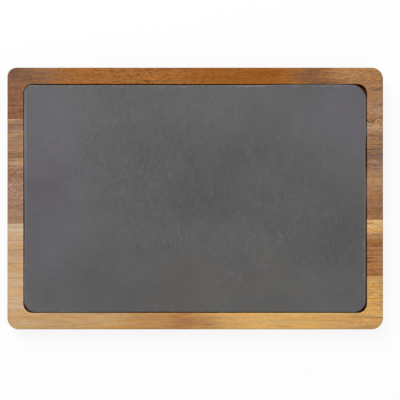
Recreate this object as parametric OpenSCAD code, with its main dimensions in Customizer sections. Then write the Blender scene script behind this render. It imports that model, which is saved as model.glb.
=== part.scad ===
// Serving board: a tray of five edge-glued hardwood staves, with a slate insert lying loose in a
// pocket routed across them, on four domed feet.
// The origin is under the middle of the tray, on the surface that the feet stand on. X runs along
// the grain to the right, Y to the back and Z up.

/* [Slate] */
// Length of the slate
slate_length = 300; // [200:1:400]
// Width of the slate
slate_width = 199.5; // [150:0.5:300]
// Thickness of the slate
slate_thickness = 5; // [3:0.5:8]
// Corner radius of the slate at the front left
slate_front_left_radius = 9; // [4:0.25:14]
// Corner radius of the slate at the front right
slate_front_right_radius = 9.5; // [4:0.25:14]
// Corner radius of the slate at the back right
slate_back_right_radius = 10.5; // [4:0.25:14]
// Corner radius of the slate at the back left
slate_back_left_radius = 7; // [4:0.25:14]
// Width of the bevel dressed along the slate's upper edge
dressed_bevel_width = 0.9; // [0.3:0.1:2]
// Depth of the bevel dressed along the slate's upper edge
dressed_bevel_depth = 0.6; // [0.3:0.1:1.5]
// Bevel that takes the sharpness off the slate's lower edge
lower_bevel = 0.4; // [0.2:0.1:1]

/* [Pocket] */
// Clearance between the slate and the pocket at each end
end_clearance = 0.75; // [0.4:0.05:2]
// Clearance between the slate and the pocket along each side
side_clearance = 0.65; // [0.4:0.05:2]
// How far the slate's face lies below the rim
slate_recess = 0.6; // [0.2:0.1:2]
// Corner radius of the pocket, left by the router bit
pocket_corner_radius = 8; // [6:0.25:12]
// Radius that eases the pocket's upper edge
rim_ease = 0.8; // [0.3:0.1:1.5]

/* [Tray] */
// Width of the rim at each end
end_rim_width = 14.25; // [12:0.25:30]
// Width of the rim along each side
side_rim_width = 14.6; // [12:0.1:30]
// Thickness of the staves
stave_thickness = 15; // [12:0.5:22]
// Width of the front stave, next to the one at the front edge
front_stave_width = 49.5; // [30:0.5:60]
// Width of the middle stave, halfway along it
middle_stave_width = 45; // [30:0.5:60]
// Width of the back stave, next to the one at the back edge
back_stave_width = 45; // [30:0.5:60]
// How far the joint in front of the middle stave slants to the back over the tray's length
joint_slant = 3.5; // [0:0.5:8]
// Corner radius of the tray at the front left
tray_front_left_radius = 10; // [5:0.25:16]
// Corner radius of the tray at the front right
tray_front_right_radius = 10; // [5:0.25:16]
// Corner radius of the tray at the back right
tray_back_right_radius = 10; // [5:0.25:16]
// Corner radius of the tray at the back left
tray_back_left_radius = 8; // [5:0.25:16]
// Radius of the roundover along the tray's upper edge
upper_roundover = 2; // [1:0.25:4]
// Radius of the roundover along the tray's lower edge
lower_roundover = 1.5; // [1:0.25:4]

/* [Feet] */
// Diameter of a foot
foot_diameter = 12; // [8:0.5:20]
// Height of a foot
foot_height = 2.5; // [1.5:0.25:5]
// Height of the straight side of a foot, next to the wood
foot_side_height = 0.8; // [0.4:0.1:1.2]
// Diameter of the flat that a foot stands on
foot_flat_diameter = 6; // [3:0.5:7]
// Distance of a foot's centre from the tray's end and side
foot_inset = 22; // [12:0.5:40]

/* [Hidden] */
$fn = 96;

// How far cutting and limiting shapes run past the faces that they cross
overrun = 2;

// Where the slate has settled, as shares of the clearance: to the right and to the back
settled_shares = [-0.5, -0.15];

// Corners go round from the front left, with X and Y as signs
CORNERS = [[-1, -1], [1, -1], [1, 1], [-1, 1]];
slate_radii = [
    slate_front_left_radius, slate_front_right_radius,
    slate_back_right_radius, slate_back_left_radius
];
tray_radii = [
    tray_front_left_radius, tray_front_right_radius,
    tray_back_right_radius, tray_back_left_radius
];
pocket_radii = [for (corner = CORNERS) pocket_corner_radius];

// Sizes in plan, as [length, width]
clearances = [end_clearance, side_clearance];
rim_widths = [end_rim_width, side_rim_width];
slate_size = [slate_length, slate_width];
pocket_size = slate_size + 2 * clearances;
tray_size = pocket_size + 2 * rim_widths;

// How far the edge sections run into a slab: past the middle of the tray
section_depth = tray_size.x;

// Heights above the surface that the feet stand on
tray_bottom = foot_height;
tray_top = tray_bottom + stave_thickness;
pocket_floor = tray_top - slate_recess - slate_thickness;

// Joints from front to back, halfway along the tray. The inner staves are centred on it, and the
// two at the edges were trimmed to what is left.
inner_widths = [front_stave_width, middle_stave_width, back_stave_width];
function width_before(i) = i == 0 ? 0 : width_before(i - 1) + inner_widths[i - 1];
edge_stave_width = (tray_size.y - width_before(len(inner_widths))) / 2;
joints = [for (i = [0 : len(inner_widths)]) edge_stave_width - tray_size.y / 2 + width_before(i)];

// Each stave lies between two bounds: the joints, and a line outside each edge of the tray
outside = tray_size.y / 2 + overrun;
bounds = concat([-outside], joints, [outside]);
// How far each bound slants to the back over the tray's length
slants = [0, 0, joint_slant, 0, 0, 0];

stave_colors = [
    [0.79, 0.62, 0.43], [0.73, 0.54, 0.36], [0.63, 0.47, 0.37], [0.61, 0.46, 0.35],
    [0.60, 0.41, 0.25]
];
slate_color = [0.37, 0.365, 0.37];
foot_color = [0.16, 0.155, 0.15];

// A slab in four quarters, each with the radius of its own corner. The child is the section
// through the slab's edge: x = 0 is the side, x falls towards the inside and y is the height.
module edged_slab(size, radii) {
    for (i = [0 : 3]) {
        centre = size / 2 - [radii[i], radii[i]];
        mirror([CORNERS[i].x < 0 ? 1 : 0, 0, 0])
            mirror([0, CORNERS[i].y < 0 ? 1 : 0, 0]) {
                translate(centre)
                    rotate_extrude(angle = 90)
                        side_section(0, radii[i]) children();
                // The straight edges from the corner to the middle of each side
                translate([0, centre.y, 0])
                    rotate([90, 0, 0])
                        linear_extrude(height = centre.y)
                            side_section(centre.x, radii[i]) children();
                rotate([90, 0, 90])
                    linear_extrude(height = centre.x)
                        side_section(centre.y, radii[i]) children();
            }
    }
}

// A section moved out to its side, which is a radius past a corner's centre, and cut off at x = 0
module side_section(centre, radius) {
    intersection() {
        translate([centre, 0]) translate([radius, 0]) children();
        translate([0, -section_depth]) square(2 * section_depth);
    }
}

// The stretch of a section between two heights, from deep inside the slab out to x
module course(low, high, x = 0) {
    translate([-section_depth, low]) square([section_depth + x, high - low]);
}

module quarter_disc(radius) {
    intersection() {
        circle(radius);
        square(radius);
    }
}

// Section of the tray's edge, with a roundover below and another above
module tray_section() {
    upper_start = stave_thickness - upper_roundover;
    course(0, lower_roundover, -lower_roundover);
    translate([-lower_roundover, lower_roundover]) mirror([0, 1]) quarter_disc(lower_roundover);
    course(lower_roundover, upper_start);
    course(upper_start, stave_thickness, -upper_roundover);
    translate([-upper_roundover, upper_start]) quarter_disc(upper_roundover);
}

// Section of the pocket's edge, flared at the top by the easing of the rim
module pocket_section() {
    depth = tray_top - pocket_floor;
    course(0, depth - rim_ease);
    difference() {
        course(depth - rim_ease, depth + overrun, rim_ease);
        translate([rim_ease, depth - rim_ease]) circle(rim_ease);
    }
}

// Section of the slate's edge, dressed to a bevel above and taken off a little below
module slate_section() {
    polygon([
        [-section_depth, 0],
        [-lower_bevel, 0],
        [0, lower_bevel],
        [0, slate_thickness - dressed_bevel_depth],
        [-dressed_bevel_width, slate_thickness],
        [-section_depth, slate_thickness]
    ]);
}

module tray_blank() {
    translate([0, 0, tray_bottom]) edged_slab(tray_size, tray_radii) tray_section();
}

module pocket() {
    translate([0, 0, pocket_floor]) edged_slab(pocket_size, pocket_radii) pocket_section();
}

// What lies between two bounds, past the tray at both ends and above and below it
module strip(i) {
    x = tray_size.x / 2 + overrun;
    // How far the slants take the two bounds to the back at x, from halfway along
    front = slants[i] * x / tray_size.x;
    back = slants[i + 1] * x / tray_size.x;
    translate([0, 0, tray_bottom - overrun])
        linear_extrude(height = stave_thickness + 2 * overrun)
            polygon([
                [-x, bounds[i] - front],
                [x, bounds[i] + front],
                [x, bounds[i + 1] + back],
                [-x, bounds[i + 1] - back]
            ]);
}

// A stave, counted from the front edge
module stave(i) {
    color(stave_colors[i])
        difference() {
            intersection() {
                tray_blank();
                strip(i);
            }
            pocket();
        }
}

module slate() {
    settled = [for (axis = [0, 1]) settled_shares[axis] * clearances[axis]];
    color(slate_color)
        translate([settled.x, settled.y, pocket_floor])
            edged_slab(slate_size, slate_radii) slate_section();
}

// A stick-on foot under one corner: a straight side next to the wood, then a dome cut flat. The
// dome's arc has its centre on the foot's axis and runs from the side to the flat. Where the centre
// lies low, the side goes straight up past it.
module foot(i) {
    radius = foot_diameter / 2;
    flat_radius = foot_flat_diameter / 2;
    dome_height = foot_height - foot_side_height;
    arc_centre = (radius ^ 2 + dome_height ^ 2 - flat_radius ^ 2) / (2 * dome_height);
    arc_radius = sqrt(flat_radius ^ 2 + arc_centre ^ 2);
    color(foot_color)
        translate([for (axis = [0, 1]) CORNERS[i][axis] * (tray_size[axis] / 2 - foot_inset)])
            rotate_extrude()
                intersection() {
                    square([radius, foot_height]);
                    union() {
                        translate([0, arc_centre]) circle(arc_radius);
                        translate([0, arc_centre]) square([radius, foot_height]);
                    }
                }
}

stave(0);  // front_edge_stave
stave(1);  // front_stave
stave(2);  // middle_stave
stave(3);  // back_stave
stave(4);  // back_edge_stave
slate();
foot(0);  // front_left_foot
foot(1);  // front_right_foot
foot(2);  // back_right_foot
foot(3);  // back_left_foot
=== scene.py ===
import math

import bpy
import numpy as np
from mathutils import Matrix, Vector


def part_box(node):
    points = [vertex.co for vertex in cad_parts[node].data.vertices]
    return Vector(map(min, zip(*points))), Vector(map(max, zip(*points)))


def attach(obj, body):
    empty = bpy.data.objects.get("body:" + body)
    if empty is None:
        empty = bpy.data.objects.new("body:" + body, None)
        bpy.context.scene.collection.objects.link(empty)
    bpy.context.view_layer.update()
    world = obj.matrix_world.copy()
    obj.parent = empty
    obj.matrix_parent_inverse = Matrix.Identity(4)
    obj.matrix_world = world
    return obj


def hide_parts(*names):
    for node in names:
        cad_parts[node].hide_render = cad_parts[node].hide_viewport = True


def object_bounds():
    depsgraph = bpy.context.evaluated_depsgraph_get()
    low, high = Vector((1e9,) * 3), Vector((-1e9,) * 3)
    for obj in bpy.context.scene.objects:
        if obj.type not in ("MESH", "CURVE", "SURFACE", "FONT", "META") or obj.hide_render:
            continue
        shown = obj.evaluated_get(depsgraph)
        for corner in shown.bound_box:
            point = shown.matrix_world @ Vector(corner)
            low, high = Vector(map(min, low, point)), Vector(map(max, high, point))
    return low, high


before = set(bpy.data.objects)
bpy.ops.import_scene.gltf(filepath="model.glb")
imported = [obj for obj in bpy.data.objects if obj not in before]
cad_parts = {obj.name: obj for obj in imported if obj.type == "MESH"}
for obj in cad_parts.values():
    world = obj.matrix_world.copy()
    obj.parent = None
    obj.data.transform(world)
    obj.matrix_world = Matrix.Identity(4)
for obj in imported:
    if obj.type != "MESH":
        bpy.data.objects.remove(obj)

# Dresses the serving board: figured hardwood on its five staves, a riven slate in the pocket,
# rubber feet, and a plain white stage seen from straight above.
# Lengths are in millimetres. Only the floor's half width and the lamps are in metres.

cad_low, cad_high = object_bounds()

MM = 0.001
MM_PER_METRE = 1000

# The board, and the pocket routed into it
BOARD_LENGTH = (cad_high.x - cad_low.x) * MM_PER_METRE
BOARD_WIDTH = (cad_high.y - cad_low.y) * MM_PER_METRE
RIM_TOP = cad_high.z * MM_PER_METRE
POCKET_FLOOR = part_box("slate")[0].z * MM_PER_METRE
POCKET_HALF_LENGTH = 150.75
POCKET_HALF_WIDTH = 100.4
POCKET_CORNER = 8


# Colours


def shade(red, green, blue):
    """A colour as it looks on screen, from 0 to 255, turned into Blender's linear values."""
    linear = []
    for level in (red, green, blue):
        part = level / 255
        linear.append(part / 12.92 if part <= 0.04045 else ((part + 0.055) / 1.055) ** 2.4)
    return (*linear, 1)


def shades(**levels):
    return {name: shade(*level) for name, level in levels.items()}


WOOD_TONES = shades(
    cream=(212, 181, 146),
    wheat=(207, 174, 131),
    chalk=(214, 186, 156),
    oat=(203, 168, 122),
    sand=(199, 165, 128),
    straw=(196, 159, 112),
    butter=(221, 181, 124),
    honey=(220, 173, 99),
    gold=(209, 164, 102),
    toffee=(185, 140, 86),
    caramel=(168, 121, 78),
    tan=(178, 140, 104),
    fawn=(166, 130, 103),
    rose=(164, 132, 111),
    cocoa=(150, 113, 87),
    olive=(152, 117, 83),
    plum=(126, 93, 78),
    chestnut=(173, 121, 74),
    hazel=(156, 114, 82),
    russet=(148, 102, 64),
    amber=(158, 100, 36),
    copper=(152, 90, 14),
    umber=(131, 89, 60),
    bark=(84, 54, 38),
    pitch=(40, 24, 18),
    ash=(178, 156, 142),
    blush=(184, 148, 128),
    brick=(142, 104, 84),
)


# Building node trees


class Nodes:
    """Puts nodes in one tree. A value may be a number, a colour, or another node's socket."""

    def __init__(self, tree):
        self.tree = tree

    def put(self, kind, inputs, **settings):
        made = self.tree.nodes.new("ShaderNode" + kind)
        for name, value in settings.items():
            setattr(made, name, value)
        for key, value in inputs.items():
            self.feed(made.inputs[key], value)
        return made

    def feed(self, socket, value):
        if isinstance(value, bpy.types.NodeSocket):
            self.tree.links.new(value, socket)
        else:
            socket.default_value = value

    def calc(self, operation, *values):
        return self.put("Math", dict(enumerate(values)), operation=operation).outputs[0]

    def times(self, value, *others):
        for other in others:
            value = self.calc("MULTIPLY", value, other)
        return value

    def weigh(self, total, *parts):
        """Adds values to a total, each times its weight."""
        for value, weight in parts:
            total = self.calc("MULTIPLY_ADD", value, weight, total)
        return total

    def vector(self, operation, *values):
        return self.put("VectorMath", dict(enumerate(values)), operation=operation).outputs[0]

    def length(self, vector):
        return self.put("VectorMath", {0: vector}, operation="LENGTH").outputs["Value"]

    def scale(self, vector, gain):
        return self.put("VectorMath", {0: vector, "Scale": gain}, operation="SCALE").outputs[0]

    def split(self, vector):
        return self.put("SeparateXYZ", {0: vector}).outputs

    def join(self, x, y, z):
        return self.put("CombineXYZ", {0: x, 1: y, 2: z}).outputs[0]

    def noise(self, place, size, seed=0, detail=0, roughness=0.5):
        """Noise from 0 to 1 around 0.5, whose lumps measure about size along each axis."""
        inputs = {
            "Vector": self.vector("DIVIDE", place, size),
            "W": seed,
            "Scale": 1,
            "Detail": detail,
            "Roughness": roughness,
        }
        return self.put("TexNoise", inputs, noise_dimensions="4D").outputs["Fac"]

    def waver(self, place, size, seed, detail):
        """Noise around zero."""
        return self.calc("SUBTRACT", self.noise(place, size, seed, detail), 0.5)

    def spread(self, value, low, high, start=0, end=1):
        """Takes low..high smoothly to start..end, and holds the ends."""
        inputs = {"Value": value, "From Min": low, "From Max": high, "To Min": start, "To Max": end}
        return self.put("MapRange", inputs, interpolation_type="SMOOTHSTEP").outputs["Result"]

    def blend(self, share, first, second, way="MIX"):
        inputs = {0: share, 6: first, 7: second}
        return self.put("Mix", inputs, data_type="RGBA", blend_type=way).outputs[2]

    def ramp(self, value, stops, tones):
        """A colour scale, with the names of its tones by their positions."""
        made = self.put("ValToRGB", {0: value})
        scale = made.color_ramp
        scale.interpolation = "EASE"
        while len(scale.elements) < len(stops):
            scale.elements.new(1)
        for element, (position, tone) in zip(scale.elements, stops.items()):
            element.position = position
            element.color = tones[tone]
        return made.outputs["Color"]

    def use(self, effect, **inputs):
        made = self.put("Group", {}, node_tree=effect)
        for name, value in inputs.items():
            self.feed(made.inputs[name], value)
        return made.outputs


# Sockets of the shared effects that carry a place. The others carry a number.
PLACES = ("Place", "Flow")


def new_effect(name, *takes):
    """A shared node group: its nodes, its inputs, and the call that ends it with its outputs."""
    tree = bpy.data.node_groups.new(name, "ShaderNodeTree")
    nodes = Nodes(tree)

    def add_sockets(labels, way):
        for label in labels:
            kind = "NodeSocketVector" if label in PLACES else "NodeSocketFloat"
            tree.interface.new_socket(name=label, in_out=way, socket_type=kind)

    def give(**values):
        add_sockets(values, "OUTPUT")
        given = tree.nodes.new("NodeGroupOutput").inputs
        for label, value in values.items():
            nodes.feed(given[label], value)
        return tree

    add_sockets(takes, "INPUT")
    return nodes, tree.nodes.new("NodeGroupInput").outputs, give


def new_material(name, colour):
    """A material, with its surface shader, its place in the board's frame, and its normal."""
    material = bpy.data.materials.new(name)
    material.use_nodes = True
    material.diffuse_color = colour
    nodes = Nodes(material.node_tree)
    surface = material.node_tree.nodes["Principled BSDF"]
    coordinates = nodes.put("TexCoord", {}).outputs
    place = nodes.vector("MULTIPLY", coordinates["Object"], (MM_PER_METRE,) * 3)
    return material, nodes, surface, place, coordinates["Normal"]


def add_object(name, data):
    made = bpy.data.objects.new(name, data)
    bpy.context.scene.collection.objects.link(made)
    return made


def at_depth(nodes, place, depths, start=0, end=1):
    """Spreads over two depths below the rim's top, the greater one first."""
    lower, upper = depths
    return nodes.spread(nodes.split(place)["Z"], RIM_TOP - lower, RIM_TOP - upper, start, end)


def finish_surface(nodes, surface, colour, roughness, relief):
    """Gives a surface what changes over it: its colour, roughness, and relief as a bump."""
    bump = nodes.put("Bump", {"Height": relief, "Distance": MM, "Strength": 1})
    nodes.feed(surface.inputs["Base Color"], colour)
    nodes.feed(surface.inputs["Roughness"], roughness)
    nodes.feed(surface.inputs["Normal"], bump.outputs["Normal"])


# Shared effects

# What a stave's log and a mark are made of
LOG = ("Pith Y", "Pith Z", "Wander", "Drift", "Seed")
MARK_LENGTHS = ("X", "Y", "Reach", "Half Width", "Lean", "Bow")

# How the grain wanders: in lumps of two sizes, of which the quick ones count less, and how far its
# height follows
SLOW_WANDER = (150, 46, 46)
QUICK_WANDER = (34, 15, 15)
QUICK_SHARE = 0.35
HEIGHT_SHARE = 0.4


def make_grain_flow():
    """The log that a stave was sawn from: distance from its pith, with the wander of the grain."""
    nodes, taken, give = new_effect("grain flow", "Place", *LOG)
    x, y, z = nodes.split(taken["Place"])
    slow = nodes.noise(taken["Place"], SLOW_WANDER, taken["Seed"], detail=1)
    quick = nodes.noise(taken["Place"], QUICK_WANDER, taken["Seed"], detail=1)
    sway = nodes.calc("SUBTRACT", nodes.weigh(slow, (quick, QUICK_SHARE)), (1 + QUICK_SHARE) / 2)
    sway = nodes.weigh(nodes.times(sway, taken["Wander"]), (x, taken["Drift"]))
    across = nodes.calc("ADD", y, sway)
    height = nodes.weigh(z, (sway, HEIGHT_SHARE))
    pith = nodes.join(0, taken["Pith Y"], taken["Pith Z"])
    from_pith = nodes.vector("SUBTRACT", nodes.join(0, across, height), pith)
    return give(Rings=nodes.length(from_pith), Flow=nodes.join(x, across, height))


# Sizes of the figure. Bands and lines are sized across the rings and then along the grain, and the
# rest along the grain and then across it.
BAND = (7, 200, 1)
LINE = (1.9, 60, 1)
HAIRLINE = (0.95, 26, 1)
DASH = (3.1, 0.85, 0.85)
STREAK = (60, 2.6, 2.6)
FIBRE = (9, 0.5, 0.5)
PORE = (3.4, 0.36, 0.36)
FLECK = (3.4, 1.15, 3)
FLECKED_PATCH = (26, 9, 12)


def make_growth():
    """What grew in rings: broad bands and thin dark lines, then short dashes, glints and fibres."""
    nodes, taken, give = new_effect("growth", "Rings", "Flow", "Seed")
    flow, seed = taken["Flow"], taken["Seed"]
    ringed = nodes.join(taken["Rings"], nodes.split(flow)["X"], 0)
    dashes = nodes.noise(flow, DASH, seed, detail=1)
    return give(
        Bands=nodes.spread(nodes.noise(ringed, BAND, seed, 2), 0.34, 0.66),
        Lines=nodes.spread(nodes.noise(ringed, LINE, seed, 2, 0.6), 0.52, 0.64),
        Hairlines=nodes.spread(nodes.noise(ringed, HAIRLINE, seed, 1), 0.52, 0.64),
        Dashes=nodes.spread(dashes, 0.54, 0.64),
        Glints=nodes.spread(dashes, 0.36, 0.46, 1, 0),
        Streaks=nodes.noise(flow, STREAK, seed, 2),
        Fibres=nodes.noise(flow, FIBRE, seed, 2),
    )


def make_pores():
    """Open pores: short dark dashes along the grain, dots where the grain ends."""
    nodes, taken, give = new_effect("pores", "Flow", "Bands", "Seed")
    dashes = nodes.noise(taken["Flow"], PORE, taken["Seed"])
    crowding = nodes.weigh(dashes, (taken["Bands"], 0.06))
    return give(Mask=nodes.spread(crowding, 0.69, 0.78))


def make_flecks():
    """Short ripples across the grain, in patches, where the wood's fibres weave."""
    nodes, taken, give = new_effect("flecks", "Place", "Turn", "Seed")
    turned = nodes.put("VectorRotate", {"Vector": taken["Place"], "Angle": taken["Turn"]})
    ripples = nodes.noise(turned.outputs[0], FLECK, taken["Seed"], detail=1)
    patches = nodes.noise(taken["Place"], FLECKED_PATCH, taken["Seed"], detail=1)
    ripples = nodes.spread(ripples, 0.5, 0.66)
    return give(Mask=nodes.times(ripples, nodes.spread(patches, 0.4, 0.6, 0.25, 1)))


def make_mark():
    """One streak or patch, soft towards its ends, that can lean and bow."""
    nodes, taken, give = new_effect("mark", "Place", *MARK_LENGTHS)
    place = nodes.split(taken["Place"])
    along = nodes.calc("SUBTRACT", place["X"], taken["X"])
    slope = nodes.weigh(taken["Lean"], (along, taken["Bow"]))
    spine = nodes.weigh(taken["Y"], (slope, along))
    beside = nodes.calc("SUBTRACT", place["Y"], spine)
    along = nodes.calc("DIVIDE", along, taken["Reach"])
    beside = nodes.calc("DIVIDE", beside, taken["Half Width"])
    out = nodes.weigh(nodes.times(along, along), (beside, beside))
    return give(Mask=nodes.calc("EXPONENT", nodes.times(out, -1)))


# The router's passes, painted shade with some burn on the pocket's walls, and a painted
# highlight on its eased edge. Pairs say where they start and end, or end and start: off the
# pocket's floor, out from its outline (below zero is inside), or down from the rim's top.
FLOOR_SKIN = (0.05, 0.4)
ROUTER_STEP = 8
RIDGE = (0, 0.7)
SHADE_BURN_LUMP = (14, 14, 3)
SHADE_BURN_SWAY = 3
SHADE_BURN_INSIDE = (-4.5, -1.6)
SHADE_BURN_OUTSIDE = (0.2, 0.6)
SHADE_BURN_DEPTHS = (4, 0.7)
SHADE_BURN_SHARE = 0.8
CORNER_SHADE_BURN = (-16, -2)
CORNER_SHADE_BURN_DEPTHS = (1.3, 0.7)
ARRIS_INNER = (0.1, 0.4)
ARRIS_OUTER = (0.8, 1.3)
ARRIS_DEPTHS = (0.8, 0.4)


def make_machining_and_light():
    """Router passes on the floor, painted shade and burn on the walls, painted highlight on the
    arris.
    """
    nodes, taken, give = new_effect("machining_and_light", "Place")
    place = taken["Place"]
    _, y, z = nodes.split(place)
    skin, clear = FLOOR_SKIN
    from_floor = nodes.spread(z, POCKET_FLOOR - clear, POCKET_FLOOR - skin)
    on_floor = nodes.spread(z, POCKET_FLOOR + skin, POCKET_FLOOR + clear, 1, 0)
    lane = nodes.spread(nodes.calc("PINGPONG", y, ROUTER_STEP / 2), *RIDGE, 1, 0)

    # Distance from the pocket's outline: below zero inside it
    corner = (POCKET_HALF_LENGTH - POCKET_CORNER, POCKET_HALF_WIDTH - POCKET_CORNER, 0)
    past = nodes.vector("SUBTRACT", nodes.vector("ABSOLUTE", place), corner)
    past_x, past_y, _ = nodes.split(past)
    beyond = (nodes.calc("MAXIMUM", side, 0) for side in (past_x, past_y))
    within = nodes.calc("MINIMUM", nodes.calc("MAXIMUM", past_x, past_y), 0)
    distance = nodes.calc("ADD", nodes.length(nodes.join(*beyond, 0)), within)
    distance = nodes.calc("SUBTRACT", distance, POCKET_CORNER)

    # The walls get painted shade, partly router burn, from a little below the rim, and in the
    # corners almost from the rim itself, so that the gap round the slate looks dark
    ragged = nodes.weigh(distance, (nodes.waver(place, SHADE_BURN_LUMP, 2, detail=2), SHADE_BURN_SWAY))
    near = nodes.spread(ragged, *SHADE_BURN_INSIDE)
    near = nodes.times(near, nodes.spread(distance, *SHADE_BURN_OUTSIDE, 1, 0))
    cornered = nodes.spread(nodes.calc("MINIMUM", past_x, past_y), *CORNER_SHADE_BURN)
    in_corner = at_depth(nodes, place, CORNER_SHADE_BURN_DEPTHS, 1, 0)
    deep = nodes.times(at_depth(nodes, place, SHADE_BURN_DEPTHS, 1, 0), SHADE_BURN_SHARE)
    deep = nodes.weigh(deep, (cornered, nodes.calc("SUBTRACT", in_corner, deep)))

    # A painted highlight on the pocket's eased edge
    eased = nodes.spread(distance, *ARRIS_INNER)
    eased = nodes.times(eased, nodes.spread(distance, *ARRIS_OUTER, 1, 0))
    return give(
        Passes=nodes.times(on_floor, from_floor, lane),
        Burn=nodes.times(deep, from_floor, near),
        Arris=nodes.times(eased, at_depth(nodes, place, ARRIS_DEPTHS)),
    )


def make_joint():
    """How far a place lies behind a joint, which slants by its rise over the board's length."""
    nodes, taken, give = new_effect("joint", "Place", "Middle", "Rise")
    place = nodes.split(taken["Place"])
    slant = nodes.calc("DIVIDE", taken["Rise"], BOARD_LENGTH)
    line = nodes.weigh(taken["Middle"], (place["X"], slant))
    return give(Behind=nodes.calc("SUBTRACT", place["Y"], line))


GRAIN_FLOW = make_grain_flow()
GROWTH = make_growth()
PORES = make_pores()
FLECKS = make_flecks()
MARK = make_mark()
MACHINING_AND_LIGHT = make_machining_and_light()
JOINT = make_joint()


# Marks

# A mark is its tone, share, x, y, reach and half width, and perhaps its lean and bow
HALF_WIDTH = 5

# Narrow marks have firm edges and fade with depth. Broad ones lie under the figure.
FIRM_BELOW = 1.5
BROAD_FROM = 2.5
FIRM_EDGE = (0.15, 0.6)
MARK_DEPTHS = (4, 1.5)


def mark_mask(nodes, place, *lengths):
    """Where a mark shows, from 0 to 1."""
    return nodes.use(MARK, Place=place, **dict(zip(MARK_LENGTHS, lengths)))["Mask"]


def add_marks(nodes, place, colour, marks, tones):
    """Lays streaks and patches over a colour."""
    shallow = at_depth(nodes, place, MARK_DEPTHS)
    for mark in marks:
        tone, share, *lengths = mark
        mask = mark_mask(nodes, place, *lengths)
        if mark[HALF_WIDTH] < FIRM_BELOW:
            mask = nodes.times(nodes.spread(mask, *FIRM_EDGE), shallow)
        colour = nodes.blend(nodes.times(mask, share), colour, tones[tone])
    return colour


# The staves

# The joints between the staves, halfway along the board and as rises over its length
JOINTS = {
    "front rim": (-BOARD_WIDTH / 2, 0),
    "front": (-69.75, 0),
    "front middle": (-20.25, 3.5),
    "back middle": (24.75, 0),
    "back": (69.75, 0),
    "back rim": (BOARD_WIDTH / 2, 0),
}

# Tones go from the front joint to the back one at each end, or along the board from the left. The
# figure's strengths are for calm wood, and for the wood about each lively x within its reach.
# Flecks have a tone, a strength and a turn, and run out between two places along x.
STAVES = {}

STAVES["front_edge_stave"] = {
    "between": ("front rim", "front"),
    "log": (-34, -26, 3, 0.004, 3.1),
    "along": {
        0: "oat", 0.1: "straw", 0.26: "straw", 0.34: "toffee", 0.43: "toffee", 0.47: "chestnut",
        0.52: "toffee", 0.6: "gold", 0.68: "honey", 0.78: "honey", 0.9: "gold",
    },
    "lively": [(166, 24)],
    "figure": [(0.2, 0.2), (0.2, 0.36), (0.22, 0.6), (0.08, 0.6), (0.1, 0.4)],
    "pores": 0.35,
    "marks": [
        ("chalk", 0.35, -160, -84, 14, 5),
        ("cream", 0.9, -160, -94, 14, 8),
        ("cream", 0.6, -160, -73, 14, 4),
        ("tan", 0.2, -160, -105, 14, 4),
        ("toffee", 0.25, -84, -108, 26, 9),
        ("butter", 0.45, 72, -108, 26, 9),
        ("gold", 0.35, -75, -108, 22, 9),
        ("honey", 0.6, 159, -98, 14, 9),
        ("chestnut", 0.6, -12, -108.5, 17, 3.2, 0.02),
        ("russet", 0.5, 11, -110.6, 6, 0.9),
        ("umber", 0.4, 79, -112.4, 8, 0.5, 0.07),
        ("russet", 0.4, 153, -110.8, 9, 0.5),
        ("russet", 0.45, 157.6, -93.5, 5, 0.45, 0, -0.05),
        ("russet", 0.35, 158.5, -91.5, 6, 0.4, 0, -0.04),
    ],
}

STAVES["front_stave"] = {
    "between": ("front", "front middle"),
    "log": (45, -25, 2.5, -0.003, 7.7),
    "left": {0: "wheat", 0.12: "sand", 0.72: "sand", 0.92: "chalk", 1: "cream"},
    "right": {0: "chestnut", 0.62: "chestnut", 0.74: "tan", 0.84: "gold", 0.93: "butter"},
    "lively": [(165, 120)],
    "figure": [(0.18, 0.25), (0.2, 0.55), (0.22, 0.55), (0.1, 0.6), (0.12, 0.45)],
    "pores": 0.4,
    "marks": [
        ("ash", 0.45, -158, -25, 12, 3),
        ("tan", 0.4, -158, -47, 14, 5),
        ("amber", 0.3, 158, -66, 12, 4),
        ("russet", 0.4, 158, -65, 12, 3),
        ("gold", 0.7, 158, -68.8, 12, 0.9),
        ("russet", 0.5, -158, -36.6, 12, 0.35, 0.01),
        ("russet", 0.4, -158, -45.4, 12, 0.35),
        ("chestnut", 0.5, -158, -56.8, 12, 0.6),
    ],
}

STAVES["middle_stave"] = {
    "between": ("front middle", "back middle"),
    "log": (50, 60, 4, 0.002, 12.4),
    "left": {0: "fawn", 0.25: "fawn", 0.5: "rose", 0.75: "rose", 0.92: "cocoa"},
    "right": {0: "hazel", 0.15: "russet", 0.34: "hazel", 0.55: "chestnut", 0.8: "tan", 1: "fawn"},
    "lively": [(165, 120)],
    "figure": [(0.25, 0.2), (0.12, 0.22), (0.18, 0.25), (0.4, 0.5), (0.4, 0.4)],
    "pores": 0.55,
    "flecks": [("blush", 0.7, -0.6, -60, 40), ("brick", 0.7, 0.5, -60, 40)],
    "marks": [
        ("cocoa", 0.5, -158, -10, 14, 7),
        ("brick", 0.3, -158, 12, 14, 9),
        ("brick", 0.8, -158, 21.5, 14, 3),
        ("cocoa", 0.45, 158, 5, 12, 8),
    ],
}

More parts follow.
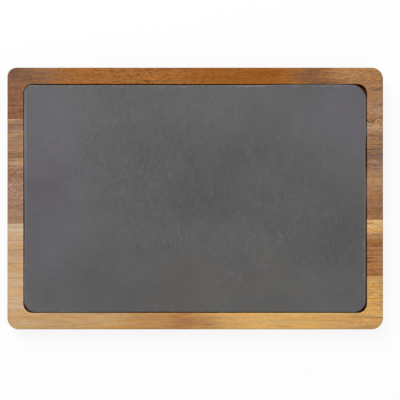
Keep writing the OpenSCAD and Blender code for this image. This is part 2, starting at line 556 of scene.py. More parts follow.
STAVES["back_stave"] = {
    "between": ("back middle", "back"),
    "log": (125, -30, 3, 0.003, 18.9),
    "left": {
        0: "cocoa", 0.06: "fawn", 0.12: "tan", 0.21: "fawn", 0.29: "cocoa", 0.38: "fawn",
        0.72: "fawn", 0.84: "cocoa", 1: "fawn",
    },
    "right": {0: "fawn", 0.14: "cocoa", 0.28: "plum", 0.48: "olive", 0.74: "fawn", 0.88: "tan"},
    "lively": [(165, 120)],
    "figure": [(0.25, 0.3), (0.5, 0.4), (0.5, 0.4), (0.4, 0.65), (0.4, 0.65)],
    "pores": 0.55,
    "flecks": [("blush", 0.25, -0.5, -60, 40)],
    "marks": [
        ("straw", 0.7, -161, 69.2, 8, 0.5),
        ("cream", 0.3, -157, 31.8, 8, 2.6),
        ("straw", 0.5, -151, 31, 2, 4),
        ("plum", 0.65, -160.5, 63.8, 6, 1.9),
        ("plum", 0.6, 158, 36.4, 8, 1.1, -0.08),
        ("blush", 0.5, 157, 32.3, 3.4, 1.7),
        ("umber", 0.7, 157.3, 34.6, 3.6, 0.5, 0, -0.1),
        ("umber", 0.7, 157.3, 29.8, 3.6, 0.5, 0, 0.1),
        ("plum", 0.6, 158, 26, 9, 0.6),
        ("sand", 0.8, 158, 64, 12, 3.5),
        ("fawn", 0.5, 158, 44, 12, 8),
        ("cocoa", 0.35, -158, 47.8, 12, 4),
        ("bark", 0.3, 154, 68.6, 5, 2),
        ("umber", 0.5, 155.6, 67.6, 2.6, 1.4, 0.2),
        ("pitch", 0.85, 151.7, 68.1, 1.2, 0.6, -0.55),
        ("bark", 0.8, 154, 67.2, 1.6, 0.45, 0.1),
        ("pitch", 0.7, 156.2, 68.1, 1.1, 0.5, 0.5),
        ("bark", 0.8, 157.8, 69.4, 1.1, 0.6, 0.9),
        ("bark", 0.8, 154.6, 69.2, 1, 0.45, -0.7),
        ("bark", 0.7, 159.9, 70.6, 1, 0.4, -0.2),
        ("bark", 0.6, 160.9, 68, 1.1, 0.4, 0.3),
        ("bark", 0.5, 162.6, 69.3, 0.6, 0.5, 1),
        ("bark", 0.5, 162.2, 66.6, 0.9, 0.4, -0.3),
        ("cream", 0.5, 160.4, 69.3, 0.8, 0.5),
        ("cream", 0.4, 156.4, 70, 0.8, 0.45),
    ],
}

STAVES["back_edge_stave"] = {
    "between": ("back", "back rim"),
    "log": (160, 34, 4, -0.004, 26.3),
    "along": {
        0: "umber", 0.05: "umber", 0.1: "russet", 0.17: "amber", 0.44: "amber", 0.54: "copper",
        0.71: "copper", 0.77: "amber", 0.82: "umber", 0.86: "russet", 0.89: "caramel",
    },
    "lively": [(-42, 42), (174, 14)],
    "figure": [(0.25, 0.3), (0.25, 0.4), (0.28, 0.4), (0.42, 0.95), (0.4, 0.85)],
    "pores": 0.6,
    "flecks": [("fawn", 0.22, -0.5, -150, -95)],
    "marks": [
        ("bark", 0.3, -158, 85.4, 12, 0.6),
        ("bark", 0.25, -158, 81.5, 12, 0.5),
        ("russet", 0.5, -138, 112.6, 22, 0.7),
        ("bark", 0.45, 159, 96.9, 8, 0.4),
        ("bark", 0.5, 159, 94.9, 8, 0.45),
        ("russet", 0.7, 157, 86.2, 4.5, 1),
        ("russet", 0.5, 160, 81, 4, 0.8),
        ("sand", 0.35, 161.5, 105, 2.2, 1),
        ("umber", 0.2, 86, 108, 8, 7),
        ("umber", 0.6, 103, 109, 7, 6),
        ("ash", 0.35, 159, 78, 13, 8),
        ("fawn", 0.65, 159, 88, 12, 13),
        ("sand", 0.15, 140, 108, 14, 7),
        ("hazel", 0.3, -160, 79.5, 14, 5),
        ("hazel", 0.35, -160, 101, 14, 5),
        ("bark", 0.5, -160, 112, 14, 4),
    ],
}

# What the figure does to the wood's own colour, in the order of a stave's strengths
DARK_LINE = (0.5, 0.38, 0.29, 1)
FIGURE = {
    "Bands": (0.78, 0.7, 0.62, 1),
    "Lines": DARK_LINE,
    "Hairlines": DARK_LINE,
    "Dashes": (0.55, 0.43, 0.33, 1),
    "Glints": (1.3, 1.26, 1.15, 1),
}

# What else changes it
GLUE_LINE = (0.5, 0.4, 0.32, 1)
DARK_PORE = (0.4, 0.3, 0.24, 1)
END_GRAIN = (0.76, 0.69, 0.62, 1)
# Painted shade, partly router burn, on the pocket's walls: it darkens the gap round the slate
SHADE_AND_BURN = (0.17, 0.125, 0.1, 1)
# A painted highlight on the pocket's eased edge
PAINTED_ARRIS_HIGHLIGHT = (1.12, 1.12, 1.12, 1)
WARM_STREAK = (1.05, 0.98, 0.82, 1)
COOL_STREAK = (0.96, 0.99, 1.08, 1)

# How far tones run out along the grain: as a share of the length or of the stave's width, and
# where one end's tones give way to the other's
RAGGED_ALONG_SHARE = 0.22
RAGGED_ACROSS_SHARE = 0.08
RAGGED_MIDDLE = 160

# Narrow marks sway a little, and glue shows this far to each side of a joint
MARK_WAVER = (4, 3, 3)
MARK_SWAY = 1.4
GLUE_WIDTH = (0.08, 0.32)

# The wood's relief
PASS_RIDGE = 0.025
PORE_DEPTH = 0.05
LINE_DEPTH = 0.012
FIBRE_RELIEF = 0.03
GLUE_DEPTH = 0.05


def tone_wood(nodes, stave, streaks, x, front, back):
    """A stave's own tones, whose edges run out along the grain."""
    off = nodes.calc("SUBTRACT", streaks, 0.5)
    if "along" in stave:
        share = nodes.calc("ADD", nodes.calc("DIVIDE", x, BOARD_LENGTH), 0.5)
        share = nodes.weigh(share, (off, RAGGED_ALONG_SHARE))
        return nodes.ramp(share, stave["along"], WOOD_TONES)
    share = nodes.calc("DIVIDE", front, nodes.calc("SUBTRACT", front, back))
    share = nodes.weigh(share, (off, RAGGED_ACROSS_SHARE))
    left, right = (nodes.ramp(share, stave[end], WOOD_TONES) for end in ("left", "right"))
    to_right = nodes.weigh(x, (off, RAGGED_MIDDLE))
    return nodes.blend(nodes.spread(to_right, -BOARD_LENGTH / 3, BOARD_LENGTH / 3), left, right)


def add_figure(nodes, stave, seed, colour, growth, place, x):
    """The figure, stronger in the lively stretches, then flecks and fibres."""
    tint = nodes.blend(nodes.spread(growth["Streaks"], 0.36, 0.64), COOL_STREAK, WARM_STREAK)
    colour = nodes.blend(1, colour, tint, "MULTIPLY")
    lively = 0
    for middle, reach in stave["lively"]:
        off = nodes.calc("DIVIDE", nodes.calc("SUBTRACT", x, middle), reach)
        nearby = nodes.calc("EXPONENT", nodes.times(off, off, -1))
        lively = nodes.calc("MAXIMUM", nearby, lively)
    for (name, change), (calm, full) in zip(FIGURE.items(), stave["figure"]):
        strength = nodes.weigh(calm, (lively, full - calm))
        colour = nodes.blend(nodes.times(growth[name], strength), colour, change, "MULTIPLY")
    for tone, strength, turn, start, end in stave.get("flecks", []):
        flecks = nodes.use(FLECKS, Place=place, Turn=turn, Seed=seed + turn)["Mask"]
        share = nodes.times(flecks, nodes.spread(x, start, end, strength, 0))
        colour = nodes.blend(share, colour, WOOD_TONES[tone])
    return nodes.scale(colour, nodes.spread(growth["Fibres"], 0.25, 0.75, 0.91, 1.09))


def make_wood(node):
    """One stave's wood, oiled, with its own log, tones and marks."""
    stave = STAVES[node]
    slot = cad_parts[node].material_slots[0].material.name
    base = WOOD_TONES[(stave.get("along") or stave["left"])[0]]
    material, nodes, surface, place, normal = new_material("oiled " + slot, base)
    log = dict(zip(LOG, stave["log"]))
    seed = log["Seed"]
    flow = nodes.use(GRAIN_FLOW, Place=place, **log)
    growth = nodes.use(GROWTH, Rings=flow["Rings"], Flow=flow["Flow"], Seed=seed)
    pores = nodes.use(PORES, Flow=flow["Flow"], Bands=growth["Bands"], Seed=seed)["Mask"]
    machining_and_light = nodes.use(MACHINING_AND_LIGHT, Place=place)
    x = nodes.split(place)["X"]
    front, back = (
        nodes.use(JOINT, Place=place, Middle=middle, Rise=rise)["Behind"]
        for middle, rise in map(JOINTS.get, stave["between"])
    )

    broad = [mark for mark in stave["marks"] if mark[HALF_WIDTH] >= BROAD_FROM]
    narrow = [mark for mark in stave["marks"] if mark[HALF_WIDTH] < BROAD_FROM]
    colour = tone_wood(nodes, stave, growth["Streaks"], x, front, back)
    colour = add_marks(nodes, place, colour, broad, WOOD_TONES)
    colour = add_figure(nodes, stave, seed, colour, growth, place, x)
    waver = nodes.times(nodes.waver(place, MARK_WAVER, seed, detail=1), MARK_SWAY)
    wavering = nodes.vector("ADD", place, nodes.join(0, waver, 0))
    colour = add_marks(nodes, wavering, colour, narrow, WOOD_TONES)

    # Glue lines, at joints but not at the board's own edges
    glued = [
        nodes.calc("ABSOLUTE", behind)
        for joint, behind in zip(stave["between"], (front, back))
        if "rim" not in joint
    ]
    nearest = nodes.calc("MINIMUM", *glued) if len(glued) == 2 else glued[0]
    glue = nodes.spread(nearest, *GLUE_WIDTH, 0.55, 0)
    end_grain = nodes.spread(nodes.calc("ABSOLUTE", nodes.split(normal)["X"]), 0.55, 0.95)
    for share, change in (
        (nodes.times(pores, stave["pores"]), DARK_PORE),
        (end_grain, END_GRAIN),
        # Painted shade in the gap round the slate, partly router burn
        (machining_and_light["Burn"], SHADE_AND_BURN),
        # Painted highlight on the pocket's eased edge
        (machining_and_light["Arris"], PAINTED_ARRIS_HIGHLIGHT),
        (glue, GLUE_LINE),
    ):
        colour = nodes.blend(share, colour, change, "MULTIPLY")
    bands, shade_and_burn = growth["Bands"], machining_and_light["Burn"]
    rough = nodes.weigh(0.48, (pores, 0.2), (bands, 0.05), (shade_and_burn, 0.2), (end_grain, 0.16))
    relief = nodes.weigh(
        0,
        (machining_and_light["Passes"], PASS_RIDGE),
        (pores, -PORE_DEPTH),
        (growth["Lines"], -LINE_DEPTH),
        (growth["Fibres"], FIBRE_RELIEF),
        (glue, -GLUE_DEPTH),
    )
    surface.inputs["Specular IOR Level"].default_value = 0.2
    finish_surface(nodes, surface, colour, rough, relief)
    return material


for node in STAVES:
    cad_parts[node].material_slots[0].material = make_wood(node)


# The feet

DUST = (4, 4, 4)
MOULD_GRAIN = (0.35, 0.35, 0.35)
MOULD_RELIEF = 0.03


def make_rubber():
    """Matt black rubber, with moulding grain and a little dust."""
    dark = shade(38, 37, 36)
    material, nodes, surface, place, _ = new_material("matt rubber", dark)
    dust = nodes.spread(nodes.noise(place, DUST, detail=3), 0.45, 0.75)
    colour = nodes.blend(nodes.times(dust, 0.5), dark, shade(62, 60, 57))
    relief = nodes.times(nodes.noise(place, MOULD_GRAIN, detail=2), MOULD_RELIEF)
    finish_surface(nodes, surface, colour, nodes.weigh(0.6, (dust, 0.15)), relief)
    return material


RUBBER = make_rubber()
for node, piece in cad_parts.items():
    if node.endswith("_foot"):
        piece.material_slots[0].material = RUBBER


# The slate

# As in the solid: corner radii from the front left round to the back left, and bevels
SLATE_RADII = (9, 9.5, 10.5, 7)
DRESSED_WIDTH = 0.9
DRESSED_DEPTH = 0.6
LOWER_BEVEL = 0.4

# Points on the riven face are about this far apart, and on the underside one in four, each way
SPACING = 1
COARSE = 4
CORNER_STEPS = 16

# Edges sharper than this, in degrees, aren't smoothed over
SHARP_ANGLE = 38
SLATE_SEED = 41
NOISE_GAIN = 1.6

# How far the riven face lies below the solid's on average. The underside rests on its lowest
# points, and its relief is a share of the face's.
UPPER_HOLLOW = 0.05
UNDER_RELIEF_SHARE = 0.35

slate_low, slate_high = (corner * MM_PER_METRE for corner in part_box("slate"))


def end_of_slate(side, front_radius, back_radius, straight_steps):
    """Points up one end of the slate, from its front edge to its back edge, with directions out."""
    x = slate_high.x if side > 0 else slate_low.x
    front = np.array([x - side * front_radius, slate_low.y + front_radius])
    back = np.array([x - side * back_radius, slate_high.y - back_radius])

    # Each stop is a share of the way to the back corner, and a step round
    stops = [(0, step) for step in range(-CORNER_STEPS, 0)]
    stops += [(share, 0) for share in np.linspace(0, 1, straight_steps + 1)]
    stops += [(1, step) for step in range(1, CORNER_STEPS + 1)]
    points, outward = [], []
    for share, step in stops:
        angle = math.pi / 2 * step / CORNER_STEPS
        way = np.array([side * math.cos(angle), math.sin(angle)])
        radius = front_radius + (back_radius - front_radius) * share
        points.append(front + (back - front) * share + radius * way)
        outward.append(way)
    return np.array(points), np.array(outward)


def lattice_noise(rng, x, y, size_x, size_y=None):
    """Smooth noise from about -1 to 1, from random slopes on a lattice."""
    size_y = size_y or size_x
    u = (x - slate_low.x) / size_x + 2
    v = (y - slate_low.y) / size_y + 2
    count_u = int((slate_high.x - slate_low.x) / size_x) + 6
    count_v = int((slate_high.y - slate_low.y) / size_y) + 6
    angles = rng.uniform(0, 2 * math.pi, (count_u, count_v))
    column = np.floor(u).astype(int)
    row = np.floor(v).astype(int)
    fade_u, fade_v = (t**3 * (t * (t * 6 - 15) + 10) for t in (u - column, v - row))
    total = 0
    for step_u in (0, 1):
        for step_v in (0, 1):
            angle = angles[(column + step_u) % count_u, (row + step_v) % count_v]
            slope = np.cos(angle) * (u - column - step_u) + np.sin(angle) * (v - row - step_v)
            weight_u = fade_u if step_u else 1 - fade_u
            weight_v = fade_v if step_v else 1 - fade_v
            total = total + weight_u * weight_v * slope
    return total * NOISE_GAIN


def noise_sum(rng, x, y, parts):
    """Noises added up, each with its strength and then its size, or its sizes along x and y."""
    return sum(strength * lattice_noise(rng, x, y, *sizes) for strength, *sizes in parts)


def smooth_step(value, low, high):
    share = np.clip((value - low) / (high - low), 0, 1)
    return share * share * (3 - 2 * share)


# The split face: slow swells, and layers that break off in steps, each as noise strengths and
# sizes. The layers' own slope is partly taken out again, and their edges show a little.
SWELLS = [(0.2, 95), (0.08, 40)]
LAYERS = [(1.3, 62, 88), (0.5, 21, 30), (0.2, 7, 11), (0.08, 3)]
LAYER_THICKNESS = 0.22
LEVELLED_SHARE = 0.6
LAYER_EDGE_SHARE = 0.15

# The outlines of its scars: sizes of their lumps, raggedness, sway as a share of the reach, and
# out from the outline the lip that leads down, and its pale edge
SCAR_LUMPS = (5, 24)
SCAR_RAGGED = 1.6
SCAR_SWAY_SHARE = 0.25
SCAR_LIP = (-0.7, 0.5)
SCAR_EDGE = 0.1

# Its combed streaks, in patches, which fan out and sway, and its grit
COMBED_PATCH = 45
COMBED_FAN = 0.0012
COMBED_SWAY = [(10, 55)]
COMBED_STREAK = (2, 9)
COMBED_DEPTH = 0.14
GRIT = [(0.012, 2.4)]

# Where flakes came away: x, y, reach along x, reach along y, and depth. The first is a broad
# layer gone from the middle of the face.
SCARS = [
    (12, 20, 66, 44, 0.22),
    (-21, 61, 8, 12, 0.13),
    (-88, 66, 15, 7, 0.1),
    (-104, 78, 9, 4, 0.09),
    (46, 54, 12, 6, 0.1),
    (72, -24, 10, 13, 0.12),
    (-62, -18, 7, 12, 0.09),
    (-120, -52, 12, 9, 0.09),
    (112, 46, 9, 6, 0.08),
    (24, -66, 17, 7, 0.1),
    (-30, -84, 8, 5, 0.08),
    (122, -72, 11, 7, 0.09),
]


def riven(rng, x, y):
    """Height of a split face, and how near each point is to a layer's edge."""
    swell = noise_sum(rng, x, y, SWELLS)
    layers = noise_sum(rng, x, y, LAYERS)
    part = layers - np.floor(layers)
    step = np.floor(layers) + smooth_step(part, 0.86, 1)
    edge = LAYER_EDGE_SHARE * smooth_step(part, 0.8, 0.93) * (1 - smooth_step(part, 0.97, 1))
    height = swell + LAYER_THICKNESS * (step - layers * LEVELLED_SHARE)

    fine, broad = (lattice_noise(rng, x, y, size) for size in SCAR_LUMPS)
    for middle_x, middle_y, reach_x, reach_y, depth in SCARS:
        reach = (reach_x + reach_y) / 2
        off = np.hypot((x - middle_x) / reach_x, (y - middle_y) / reach_y)
        beyond = (off - 1) * reach + SCAR_RAGGED * fine + SCAR_SWAY_SHARE * reach * broad
        height = height - depth * (1 - smooth_step(beyond, *SCAR_LIP))
        edge = np.maximum(edge, np.exp(-((beyond - SCAR_EDGE) ** 2)))

    patch = smooth_step(lattice_noise(rng, x, y, COMBED_PATCH), -0.2, 0.4)
    swaying = x + COMBED_FAN * x * y + noise_sum(rng, x, y, COMBED_SWAY)
    combed = lattice_noise(rng, swaying, y, *COMBED_STREAK)
    height = height + COMBED_DEPTH * patch * combed + noise_sum(rng, x, y, GRIT)
    return height, edge


# Where the dressed outline strays from the solid's: x, y, reach along x and y, move along x and y
STRAYS = [
    (149.6, 80, 5, 16, 0.65, 0),
    (149.6, 58, 5, 8, 0.75, 0),
    (149.6, 7, 5, 16, 0.85, 0),
    (147.5, 96.5, 7, 7, -0.6, -0.6),
    (88, 99.6, 24, 5, 0, 0.5),
    (122, 99.6, 18, 5, 0, 0.5),
    (-148, 97.5, 6, 6, -0.2, 0.35),
    (-112, -99.8, 26, 5, 0, -0.35),
    (-147.5, -96.5, 6, 6, 0.4, 0.4),
    (147.5, -96.5, 6, 6, -0.2, 0.2),
    (149.6, -50, 5, 30, 0.25, 0),
    (-149.9, -20, 5, 26, 0.3, 0),
    (-40, -99.8, 26, 5, 0, 0.2),
]


def stray(flat):
    """Moves points in plan with the dressed outline."""
    moved = flat.copy()
    for x, y, reach_x, reach_y, move_x, move_y in STRAYS:
        share = np.exp(-(((flat[:, 0] - x) / reach_x) ** 2) - ((flat[:, 1] - y) / reach_y) ** 2)
        moved[:, 0] += share * move_x
        moved[:, 1] += share * move_y
    return moved


# Chips along the upper edge: their noise, where they start as a share of the dressed width, how
# far in they reach, how far they fade, and how deep they go
CHIPPING = [(1, 9), (0.6, 3.5)]
CHIP_START_SHARE = 0.9
CHIP_REACH = 2.2
CHIP_FADE = 0.4
CHIP_DEPTH = 0.22

# Rings of the dressed edge and the wall: depth, inset, how far they crumble, and whether dressed
WALL_RINGS = [
    (0.18, 0.45, 0.12, 1), (DRESSED_DEPTH, 0.03, 0.1, 1), (1.5, 0.02, 0.1, 0), (2.3, 0.05, 0.1, 0),
    (3.2, 0.02, 0.1, 0), (4, 0.05, 0.08, 0), (4.6, 0.02, 0.05, 0),
]

# The crumbs' noise: size, steps along a ring and from ring to ring, and grit. A crumb goes down by
# a share of how far it goes in, and a dressed ring lies below the face's rim by a share of its
# depth.
CRUMB = 2.2
CRUMB_SPACING = 0.3
CRUMB_STRETCH = 9
CRUMB_GRIT = 0.5
CRUMB_DROP_SHARE = 0.5
LIP_DROP_SHARE = 0.6

# How far the underside's outline stands up, and how far in from the bevel its relief starts
UNDER_LIFT = 0.02
UNDER_MARGIN = 3


class SlateMesh:
    """Gathers the slate's points and faces in blocks."""

    def __init__(self):
        self.points, self.faces, self.cleft, self.dressed = [], [], [], []

    def add_points(self, flat, heights, cleft, dressed):
        start = sum(len(block) for block in self.points)
        self.points.append(np.column_stack([stray(flat), np.broadcast_to(heights, len(flat))]))
        self.cleft.append(np.broadcast_to(cleft, len(flat)))
        self.dressed.append(np.broadcast_to(dressed, len(flat)))
        return start + np.arange(len(flat))

    def add_cells(self, index, upwards):
        corners = [index[:-1, :-1], index[:-1, 1:], index[1:, 1:], index[1:, :-1]]
        if not upwards:
            corners.reverse()
        self.faces.extend(np.stack(corners, axis=-1).reshape(-1, 4).tolist())

    def add_band(self, lower, upper):
        """Faces between two loops of the same count, seen from outside."""
        after_lower, after_upper = np.roll(lower, -1), np.roll(upper, -1)
        self.faces.extend(np.stack([lower, after_lower, after_upper, upper], axis=-1).tolist())

    def add_fan(self, loop, coarse_loop):
        """Faces from a loop in to one with a point for every COARSE of its own."""
        half = COARSE // 2
        for turn, (near, far) in enumerate(zip(coarse_loop, np.roll(coarse_loop, -1))):
            fine = loop[(turn * COARSE + np.arange(COARSE + 1)) % len(loop)]
            for step in range(COARSE):
                tip = near if step < half else far
                self.faces.append([int(fine[step + 1]), int(fine[step]), int(tip)])
            self.faces.append([int(fine[half]), int(near), int(far)])

    def finish(self, name):
        mesh = bpy.data.meshes.new(name)
        mesh.from_pydata((np.concatenate(self.points) * MM).tolist(), [], self.faces)
        for label, values in (("cleft", self.cleft), ("dressed", self.dressed)):
            layer = mesh.attributes.new(label, "FLOAT", "POINT")
            layer.data.foreach_set("value", np.concatenate(values).astype(np.float32))
        mesh.shade_smooth()
        mesh.set_sharp_from_angle(angle=math.radians(SHARP_ANGLE))
        mesh.validate()
        return mesh


def outer_loop(index):
    """A grid's outer points, from the front left round to the right, the back and the left."""
    return np.concatenate([index[0, :-1], index[:-1, -1], index[-1, :0:-1], index[:0:-1, 0]])


def make_riven_slate():
    """The slate as one closed mesh: riven faces, a dressed upper edge, and layered walls."""
    rng = np.random.default_rng(SLATE_SEED)
    made = SlateMesh()
    front_left, front_right, back_right, back_left = SLATE_RADII
    rounded = 2 * sum(SLATE_RADII) / len(SLATE_RADII)
    straight_steps, columns = (
        COARSE * round((size - rounded) / SPACING / COARSE)
        for size in (slate_high.y - slate_low.y, slate_high.x - slate_low.x)
    )
    left, left_out = end_of_slate(-1, front_left, back_left, straight_steps)
    right, right_out = end_of_slate(1, front_right, back_right, straight_steps)
    rows = len(left) - 1

    # The outline runs along the front, up the right end, along the back and down the left end
    shares = np.linspace(0, 1, columns + 1)[1:-1, None]
    front = left[0] + (right[0] - left[0]) * shares
    back = right[-1] + (left[-1] - right[-1]) * shares
    outline = np.concatenate([left[:1], front, right, back, left[:0:-1]])
    along_front = np.tile([0.0, -1.0], (columns - 1, 1))
    outward = np.concatenate([left_out[:1], along_front, right_out, -along_front, left_out[:0:-1]])
    count = len(outline)

    def grid(inset, every):
        """Rows of points across the slate, in from its ends, and their count."""
        row_ids, column_ids = np.arange(0, rows + 1, every), np.arange(0, columns + 1, every)
        near = (left - left_out * inset)[row_ids][:, None]
        far = (right - right_out * inset)[row_ids][:, None]
        points = near + (far - near) * (column_ids / columns)[None, :, None]
        return points.reshape(-1, 2), (len(row_ids), len(column_ids))

    # Upper face
    flat, shape = grid(DRESSED_WIDTH, 1)
    height, cleft = riven(rng, flat[:, 0], flat[:, 1])
    from_x = np.minimum(flat[:, 0] - slate_low.x, slate_high.x - flat[:, 0])
    from_y = np.minimum(flat[:, 1] - slate_low.y, slate_high.y - flat[:, 1])
    chipping = smooth_step(noise_sum(rng, flat[:, 0], flat[:, 1], CHIPPING), -0.1, 0.8)
    chipped_from = DRESSED_WIDTH * CHIP_START_SHARE
    chipped_to = DRESSED_WIDTH + CHIP_REACH * chipping + CHIP_FADE
    chips = 1 - smooth_step(np.minimum(from_x, from_y), chipped_from, chipped_to)
    height = height - height.mean() - UPPER_HOLLOW - CHIP_DEPTH * chips
    index = made.add_points(flat, slate_high.z + height, cleft, chips).reshape(shape)
    made.add_cells(index, upwards=True)
    previous = outer_loop(index)
    rim_heights = made.points[0][previous, 2]

    # Dressed edge and walls, which crumble inwards
    for depth, inset, crumbling, dressed in WALL_RINGS:
        along = slate_low.x + np.arange(count) * CRUMB_SPACING
        wave = lattice_noise(rng, along, slate_low.y + depth * CRUMB_STRETCH, CRUMB)
        crumble = np.abs(wave + CRUMB_GRIT * rng.standard_normal(count)) * crumbling
        flat = outline - outward * (inset + crumble)[:, None]
        heights = slate_high.z - depth - crumble * CRUMB_DROP_SHARE
        if dressed:
            heights = np.minimum(heights, rim_heights - depth * LIP_DROP_SHARE)
        current = made.add_points(flat, heights, 0, dressed)
        made.add_band(current, previous)
        previous = current

    # Underside
    flat = outline - outward * LOWER_BEVEL
    current = made.add_points(flat, slate_low.z + UNDER_LIFT, 0, 0)
    made.add_band(current, previous)
    flat, shape = grid(LOWER_BEVEL + UNDER_MARGIN, COARSE)
    height, cleft = riven(rng, flat[:, 0], flat[:, 1])
    height = UNDER_RELIEF_SHARE * (height - height.min())
    index = made.add_points(flat, slate_low.z + height, cleft, 0).reshape(shape)
    made.add_cells(index, upwards=False)
    made.add_fan(current, outer_loop(index))

    return add_object("riven_slate", made.finish("riven slate"))


STONE_TONES = shades(
    # Partly the slate's tone, partly a painted sheen
    violet=(97, 94, 100),
    grey=(91, 91, 91),
    deep=(79, 79, 79),
    dusk=(82, 79, 82),
    olive=(91, 88, 85),
    # The pale of fresh chips and layers, also used for painted highlights
    fresh=(124, 123, 125),
    speck=(140, 139, 137),
    # A painted reflection of the wood beside the slate
    rust=(112, 88, 74),
)

# Its textures: size, seed, detail and roughness
STONE_TEXTURES = {
    "clouds": ((48, 40, 30), 4.2, 3),
    "sway": ((60, 55, 40), 15.5, 1),
    "streaks": ((0.75, 5, 4), 21.7, 2, 0.55),
    "patches": ((16, 14, 12), 27.4, 3),
    "mottling": ((4.5, 6, 5), 29.9, 2, 0.6),
    "grain": ((1.1, 1.1, 0.5), 33.3, 4, 0.65),
    "broken": ((11, 11, 11), 38.6, 2),
    "specks": ((1.6, 1.6, 1.6), 40.8),
    "layers": ((14, 14, 0.22), 46.2, 2),
}

# Broad clouds, as marks, whose outlines waver. The violet ones, on the left and at the back
# right, are partly the slate's tone and partly a painted sheen, the lamps' reflection
STONE_CLOUDS = [
    ("violet", 0.9, -130, 20, 45, 95),
    ("violet", 0.8, 132, 78, 42, 40),
    ("deep", 0.9, 4, 10, 62, 44),
    ("deep", 0.5, 72, -32, 38, 26),
    ("olive", 0.8, 10, -78, 95, 30),
    ("dusk", 0.55, 134, -26, 34, 40),
    ("deep", 0.6, -64, -78, 40, 28),
    ("dusk", 0.4, -124, 6, 20, 18),
    ("dusk", 0.35, -104, -44, 48, 34),
    ("dusk", 0.4, 146, -86, 30, 24),
]
CLOUD_WAVER = (34, 34, 34)
CLOUD_SWAY = 90

# Painted light along its edges, as marks: warm painted reflections of the wood beside it, and
# pale painted highlights where the dressed edge faces the light
PAINTED_EDGE_LIGHT = [
    ("rust", 0.35, 149.4, 21, 1.2, 22),
    ("rust", 0.3, 149.4, 86, 1.2, 18),
    ("rust", 0.25, -149.6, -38, 1, 40),
    ("fresh", 0.8, -149.6, 58, 1.1, 34),
    ("fresh", 0.7, 48, 99.2, 16, 1.1),
]

# Where the streaks are at their strongest: x, y, reach and half width. They sway, and fan out on
# the left.
WORN_ZONES = [
    (-36, 58, 90, 76),
    (50, 5, 72, 60),
    (104, -26, 46, 48),
    (50, -50, 64, 34),
    (-36, -22, 56, 38),
]
DARK_STREAK = (0.7, 0.7, 0.7, 1)
STREAK_SWAY = 12
STREAK_FAN = 0.003

# How far in the front edge shows less of its dressing
FRONT_MARGIN = 4

# The relief of what is too fine for the mesh
GRAIN_RELIEF = 0.05
STREAK_RELIEF = 0.5
LAYER_RELIEF = 0.06


def make_stone():
    """Riven slate: cloudy tones, some a painted sheen, combed streaks partly painted as light and
    shade, paler layer edges and chips, specks, and painted light along its edges.
    """
    material, nodes, surface, place, normal = new_material("riven slate", STONE_TONES["grey"])
    x, y, z = nodes.split(place)
    cleft, dressed = (
        nodes.put("Attribute", {}, attribute_name=name).outputs["Fac"]
        for name in ("cleft", "dressed")
    )

    def texture(name, where=place):
        return nodes.noise(where, *STONE_TEXTURES[name])

    clouds = texture("clouds")
    drift = (nodes.waver(place, CLOUD_WAVER, seed, detail=2) for seed in (5.1, 8.3))
    drift = nodes.scale(nodes.join(*drift, 0), CLOUD_SWAY)
    drifting = nodes.vector("ADD", place, drift)
    # The violet clouds are partly a painted sheen, the lamps' reflection
    colour = add_marks(nodes, drifting, STONE_TONES["grey"], STONE_CLOUDS, STONE_TONES)
    # Painted reflections of the wood and painted highlights along the edges
    colour = add_marks(nodes, place, colour, PAINTED_EDGE_LIGHT, STONE_TONES)
    colour = nodes.scale(colour, nodes.spread(clouds, 0.3, 0.7, 0.93, 1.07))

    # Streaks combed towards the back, in patches and strongest where the face is worn. Their pale
    # and dark colour is partly the slate's own marks and partly painted light and shade of their
    # relief
    fan = nodes.times(nodes.calc("MINIMUM", x, 0), y, STREAK_FAN)
    sway = nodes.calc("SUBTRACT", texture("sway"), 0.5)
    combed = nodes.join(nodes.calc("ADD", x, nodes.weigh(fan, (sway, STREAK_SWAY))), y, z)
    streaks = texture("streaks", combed)
    worn = 0
    for zone in WORN_ZONES:
        worn = nodes.calc("MAXIMUM", mark_mask(nodes, place, *zone), worn)
    worn = nodes.spread(worn, 0.15, 0.8, 0.3, 1)
    patches = nodes.times(nodes.spread(texture("patches"), 0.4, 0.6, 0.2, 1), worn)
    # Pale and dark streaks, partly painted light and shade of the combed relief
    pale = nodes.times(nodes.spread(streaks, 0.55, 0.67, 0, 0.28), patches)
    colour = nodes.blend(pale, colour, STONE_TONES["fresh"])
    dark = nodes.times(nodes.spread(streaks, 0.33, 0.46, 0.52, 0), patches)
    colour = nodes.blend(dark, colour, DARK_STREAK, "MULTIPLY")
    mottled = nodes.times(nodes.spread(texture("mottling", combed), 0.3, 0.7, -0.05, 0.05), worn)
    colour = nodes.scale(colour, nodes.calc("ADD", mottled, 1))
    grain = texture("grain")
    colour = nodes.scale(colour, nodes.spread(grain, 0.25, 0.75, 0.97, 1.03))

    # What is paler: broken layers, chips, specks, and the thin layers that show in the walls
    broken = nodes.times(nodes.spread(texture("broken"), 0.4, 0.6), 0.05, cleft)
    chipped = nodes.times(dressed, nodes.spread(grain, 0.35, 0.65, 0.2, 0.7))
    in_front = nodes.spread(y, slate_low.y, slate_low.y + FRONT_MARGIN, 0.3, 1)
    chipped = nodes.times(chipped, in_front)
    specks = nodes.spread(texture("specks"), 0.84, 0.9, 0, 0.6)
    wall = nodes.spread(nodes.calc("ABSOLUTE", nodes.split(normal)["Z"]), 0.3, 0.7, 1, 0)
    layers = nodes.times(nodes.spread(texture("layers"), 0.42, 0.6), wall)
    for share, tone in (
        (broken, "fresh"),
        (chipped, "fresh"),
        (specks, "speck"),
        (nodes.times(layers, 0.4), "fresh"),
    ):
        colour = nodes.blend(share, colour, STONE_TONES[tone])
    rough = nodes.weigh(0.56, (clouds, 0.16), (dressed, 0.08))
    relief = nodes.weigh(
        0,
        (grain, GRAIN_RELIEF),
        (streaks, nodes.times(patches, STREAK_RELIEF)),
        (layers, -LAYER_RELIEF),
    )
    surface.inputs["Specular IOR Level"].default_value = 0.25
    finish_surface(nodes, surface, colour, rough, relief)
    return material


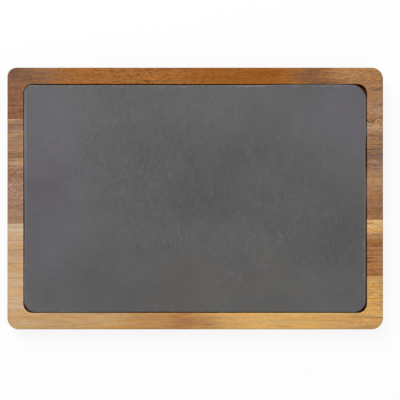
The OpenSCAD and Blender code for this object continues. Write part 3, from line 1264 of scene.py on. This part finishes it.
riven_slate = make_riven_slate()
riven_slate.data.materials.append(make_stone())
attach(riven_slate, "slate")
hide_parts("slate")


# Stage, light and camera

FLOOR_HALF = 4
FLOOR_WHITE = (0.9, 0.9, 0.9, 1)

# To the camera the floor is mostly a white glow: by this share near the board, where the rest
# shows a shadow, and wholly from the second distance on
FLOOR_GLOW_SHARE = 0.86
SHADOW_FADE = (200, 600)

# The world's strength as light, and the lamps: place, size and power in watts
AMBIENT = 0.5
SOFTBOXES = {"key": ((-0.48, 0.86, 1.25), 0.8, 15.2), "fill": ((1.1, -0.8, 1.1), 1.2, 5)}

# The camera looks straight down. Its frame has this width at the rim's height, and the board sits
# a little to the left of its middle.
FRAME_WIDTH = 350.8
CAMERA_X = 4.2
CAMERA_Y = -1.3
LENS = 85
SENSOR = 36


def make_floor():
    """A plain white floor that shows the camera a pale, soft shadow and nothing else."""
    mesh = bpy.data.meshes.new("floor")
    corners = [
        (x * FLOOR_HALF, y * FLOOR_HALF, 0) for x, y in ((-1, -1), (1, -1), (1, 1), (-1, 1))
    ]
    mesh.from_pydata(corners, [], [(0, 1, 2, 3)])
    material, nodes, surface, place, _ = new_material("white floor", FLOOR_WHITE)
    surface.inputs["Base Color"].default_value = FLOOR_WHITE
    surface.inputs["Roughness"].default_value = 0.9
    glow = nodes.put("Emission", {"Color": (1, 1, 1, 1), "Strength": 1})
    ray = nodes.put("LightPath", {}).outputs
    seen = nodes.calc("MAXIMUM", ray["Is Camera Ray"], ray["Is Glossy Ray"])
    seen = nodes.calc("MAXIMUM", seen, ray["Is Transmission Ray"])
    share = nodes.spread(nodes.length(place), *SHADOW_FADE, FLOOR_GLOW_SHARE, 1)
    share = nodes.times(seen, share)
    both = nodes.put("MixShader", {0: share, 1: surface.outputs[0], 2: glow.outputs[0]})
    output = material.node_tree.nodes["Material Output"]
    nodes.feed(output.inputs["Surface"], both.outputs[0])
    mesh.materials.append(material)
    return add_object("floor", mesh)


def make_world():
    """White to the camera and through glass, and softer as light and in reflections."""
    world = bpy.data.worlds.new("studio")
    bpy.context.scene.world = world
    world.use_nodes = True
    nodes = Nodes(world.node_tree)
    ray = nodes.put("LightPath", {}).outputs
    seen = nodes.calc("MAXIMUM", ray["Is Camera Ray"], ray["Is Transmission Ray"])
    background = world.node_tree.nodes["Background"]
    background.inputs["Color"].default_value = (1, 1, 1, 1)
    nodes.feed(background.inputs["Strength"], nodes.weigh(AMBIENT, (seen, 1 - AMBIENT)))


def add_softbox(name, place, size, power):
    """A square area lamp that looks at the board."""
    lamp = bpy.data.lights.new(name, "AREA")
    lamp.size = size
    lamp.energy = power
    piece = add_object(name, lamp)
    piece.location = place
    piece.rotation_euler = Vector(place).to_track_quat("Z", "Y").to_euler()


def add_camera():
    camera = add_object("camera", bpy.data.cameras.new("camera"))
    camera.data.lens = LENS
    camera.data.sensor_width = SENSOR
    height = RIM_TOP + FRAME_WIDTH * LENS / SENSOR
    camera.location = (CAMERA_X * MM, CAMERA_Y * MM, height * MM)
    bpy.context.scene.camera = camera


make_floor()
make_world()
for name, settings in SOFTBOXES.items():
    add_softbox(name, *settings)
add_camera()
bpy.context.scene.view_settings.view_transform = "Standard"
